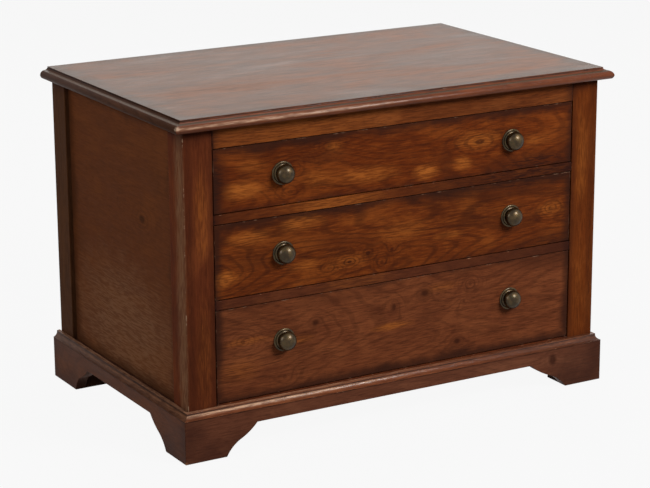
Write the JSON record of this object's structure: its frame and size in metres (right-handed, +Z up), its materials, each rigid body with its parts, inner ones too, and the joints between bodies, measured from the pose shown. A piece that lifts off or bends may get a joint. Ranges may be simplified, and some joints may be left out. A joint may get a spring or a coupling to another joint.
{
  "type": "chest of drawers",
  "caption": "Low chest of drawers in dark stained oak with full-width drawers, round stepped brass knobs, a moulded top and a moulded plinth on bracket feet.",
  "frame": {"origin": "on the floor, at the middle of the overall width and depth", "axes": "+Z up, -Y out of the front where the drawers open, +X to the right as seen from the front"},
  "size_m": [0.946, 0.5958, 0.635],
  "materials": {
    "stained_oak": "satin, dark stained and waxed, with darker antiqued borders",
    "drawer_wood": "plain, unfinished",
    "aged_brass": "dark aged",
    "screw_steel": "plain"
  },
  "bodies": {
    "case": {"back_panel": "drawer_wood", "case_screws": "screw_steel", "drawer_stops": "drawer_wood", "front_bottom_rail": "stained_oak", "front_left_foot_block": "drawer_wood", "front_left_post": "stained_oak", "front_lower_divider_rail": "stained_oak", "front_right_foot_block": "drawer_wood", "front_right_post": "stained_oak", "front_top_rail": "stained_oak", "front_upper_divider_rail": "stained_oak", "left_kicker": "drawer_wood", "left_side_panel": "stained_oak", "left_side_rail": "stained_oak", "lower_left_runner": "drawer_wood", "lower_right_runner": "drawer_wood", "middle_left_runner": "drawer_wood", "middle_right_runner": "drawer_wood", "plinth_front": "stained_oak", "plinth_left": "stained_oak", "plinth_right": "stained_oak", "rear_bottom_rail": "drawer_wood", "rear_left_foot_block": "drawer_wood", "rear_left_post": "stained_oak", "rear_right_foot_block": "drawer_wood", "rear_right_post": "stained_oak", "rear_top_rail": "drawer_wood", "right_kicker": "drawer_wood", "right_side_panel": "stained_oak", "right_side_rail": "stained_oak", "top_board": "stained_oak", "upper_left_runner": "drawer_wood", "upper_right_runner": "drawer_wood"},
    "upper_drawer": {"upper_backplates": "aged_brass", "upper_drawer_back": "drawer_wood", "upper_drawer_bottom": "drawer_wood", "upper_drawer_front": "stained_oak", "upper_drawer_left_side": "drawer_wood", "upper_drawer_right_side": "drawer_wood", "upper_knob_screws": "screw_steel", "upper_left_knob": "aged_brass", "upper_right_knob": "aged_brass"},
    "middle_drawer": {"middle_backplates": "aged_brass", "middle_drawer_back": "drawer_wood", "middle_drawer_bottom": "drawer_wood", "middle_drawer_front": "stained_oak", "middle_drawer_left_side": "drawer_wood", "middle_drawer_right_side": "drawer_wood", "middle_knob_screws": "screw_steel", "middle_left_knob": "aged_brass", "middle_right_knob": "aged_brass"},
    "lower_drawer": {"lower_backplates": "aged_brass", "lower_drawer_back": "drawer_wood", "lower_drawer_bottom": "drawer_wood", "lower_drawer_front": "stained_oak", "lower_drawer_left_side": "drawer_wood", "lower_drawer_right_side": "drawer_wood", "lower_knob_screws": "screw_steel", "lower_left_knob": "aged_brass", "lower_right_knob": "aged_brass"}
  },
  "joints": [
    {"name": "upper_drawer_slide", "type": "slide", "parent": "case", "child": "upper_drawer", "axis": [0, -1, 0], "range_m": [0, 0.4]},
    {"name": "middle_drawer_slide", "type": "slide", "parent": "case", "child": "middle_drawer", "axis": [0, -1, 0], "range_m": [0, 0.4]},
    {"name": "lower_drawer_slide", "type": "slide", "parent": "case", "child": "lower_drawer", "axis": [0, -1, 0], "range_m": [0, 0.4]}
  ]
}
